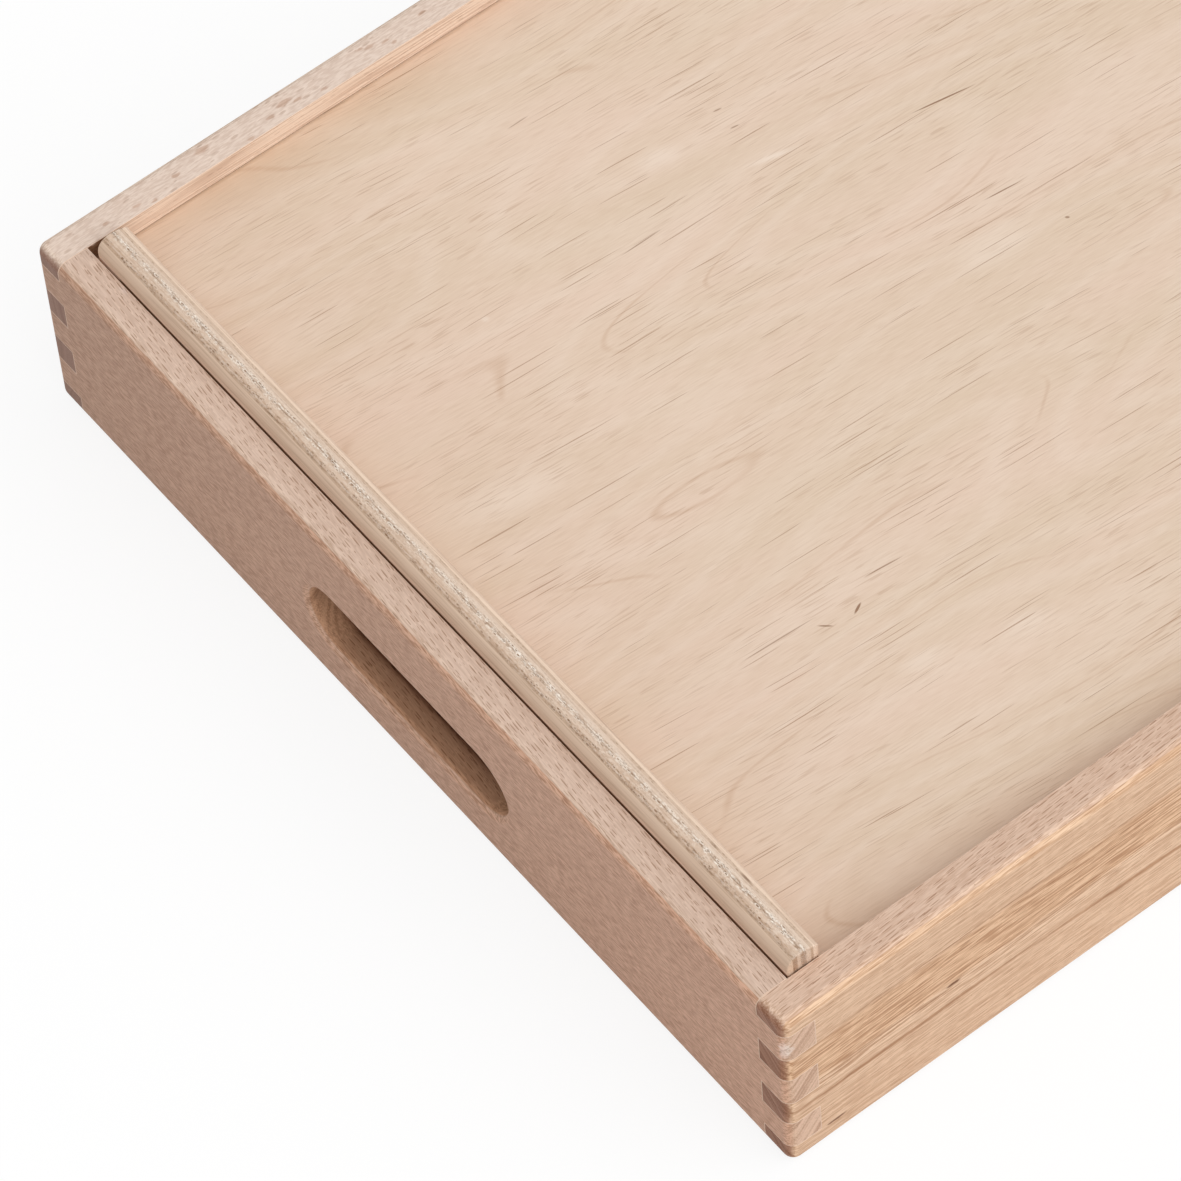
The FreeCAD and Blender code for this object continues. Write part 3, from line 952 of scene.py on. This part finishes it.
    height = maths(finish, "SUBTRACT", light, dark)
    bare_wood(finish, surface, colour, 0.6, 0.25, height, depth=0.0001, strength=0.8)
    return material


dress("lid_lip", lip_plywood("lip birch plywood"), birch_edge_and_highlight)

# ---- Lip screws --------------------------------------------------------------------------------------
# Three countersunk wood screws in zinc-plated steel, with a cross recess in their heads. They are driven
# up through the lid into the lip, until their heads lie flush with the lid's underside.
screw_count = 3
screw_low, screw_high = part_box("lip_screws")
screw_head = 0.0028
screw_rim = 0.0003
screw_shank = 0.0014
screw_tip = 0.0025
screw_inset = 0.0220  # from each end of the lip to the nearest screw
cross_half = 0.0004
cross_arm = 0.0015
cross_deep = 0.0013
cross_taper = 0.7  # the recess's floor against its mouth
screw_sides = 32
zinc_pale = shade(208, 209, 210)
zinc_deep = shade(178, 180, 184)


def screw_shape(shape, x, y):
    """One screw, head down: a flat head with a cross recess, a cone, a shank and a point."""
    rings = []
    head_top = screw_rim + screw_head - screw_shank
    shank_top = screw_high.z - screw_low.z - screw_tip
    outline = (
        (screw_head, 0.0),
        (screw_head, screw_rim),
        (screw_shank, head_top),
        (screw_shank, shank_top),
    )
    for radius, height in outline:
        ring = []
        for k in range(screw_sides):
            turn = 2 * math.pi * k / screw_sides
            across = (x + radius * math.cos(turn), y + radius * math.sin(turn))
            ring.append(shape.verts.new((*across, screw_low.z + height)))
        rings.append(ring)
    for low_ring, high_ring in zip(rings, rings[1:]):
        for k in range(screw_sides):
            after = (k + 1) % screw_sides
            shape.faces.new((low_ring[k], low_ring[after], high_ring[after], high_ring[k]))
    point = shape.verts.new((x, y, screw_high.z))
    for k in range(screw_sides):
        shape.faces.new((rings[-1][k], rings[-1][(k + 1) % screw_sides], point))

    # The recess: a cross with upright walls, narrowing a little towards its floor
    corners = []
    for quarter in range(4):
        for along, aside in ((cross_arm, -cross_half), (cross_arm, cross_half), (cross_half, cross_half)):
            turn = quarter * math.pi / 2
            across = along * math.cos(turn) - aside * math.sin(turn)
            upright = along * math.sin(turn) + aside * math.cos(turn)
            corners.append((across, upright))
    mouth = []
    floor_ring = []
    for across, upright in corners:
        mouth.append(shape.verts.new((x + across, y + upright, screw_low.z)))
    for across, upright in corners:
        narrower = (x + across * cross_taper, y + upright * cross_taper)
        floor_ring.append(shape.verts.new((*narrower, screw_low.z + cross_deep)))
    for k in range(len(mouth)):
        after = (k + 1) % len(mouth)
        shape.faces.new((mouth[after], mouth[k], floor_ring[k], floor_ring[after]))
    shape.faces.new(floor_ring)
    head_edges = []
    for loop in (rings[0], mouth):
        for k in range(len(loop)):
            head_edges.append(shape.edges.get((loop[k], loop[(k + 1) % len(loop)])))
    bmesh.ops.triangle_fill(shape, use_beauty=True, edges=head_edges)


zinc, finish, surface = new_finish("zinc plate")
here = step(finish, "TexCoord").outputs["Object"]
spangle = cloud(finish, here, (900, 900, 900), detail=3.0)
plate = tint(finish, ramp(finish, spangle, 0.3, 0.7), zinc_deep, zinc_pale)
gloss = ramp(finish, spangle, 0.3, 0.7, 0.28, 0.42)
lathe_marks = cloud(finish, here, (200, 200, 9000), detail=1.0)
relief = step(finish, "Bump", {"Strength": 0.3, "Distance": 0.00003, "Height": lathe_marks}).outputs[0]
steel = step(
    finish,
    "BsdfPrincipled",
    {"Base Color": plate, "Metallic": 1.0, "Roughness": gloss, "Normal": relief},
)
finish.links.new(steel.outputs[0], surface)

screws_mesh = bpy.data.meshes.new("cross_head_screws")
screws_shape = bmesh.new()
first_screw = lip_low.x + screw_inset
screw_step = (lip_high.x - lip_low.x - 2 * screw_inset) / (screw_count - 1)
for number in range(screw_count):
    screw_shape(screws_shape, first_screw + number * screw_step, (lip_low.y + lip_high.y) / 2)
bmesh.ops.recalc_face_normals(screws_shape, faces=screws_shape.faces)
screws_shape.to_mesh(screws_mesh)
screws_shape.free()
screws_mesh.materials.append(zinc)
screws = bpy.data.objects.new("cross_head_screws", screws_mesh)
scene.collection.objects.link(screws)
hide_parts("lip_screws")
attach(screws, "lid")
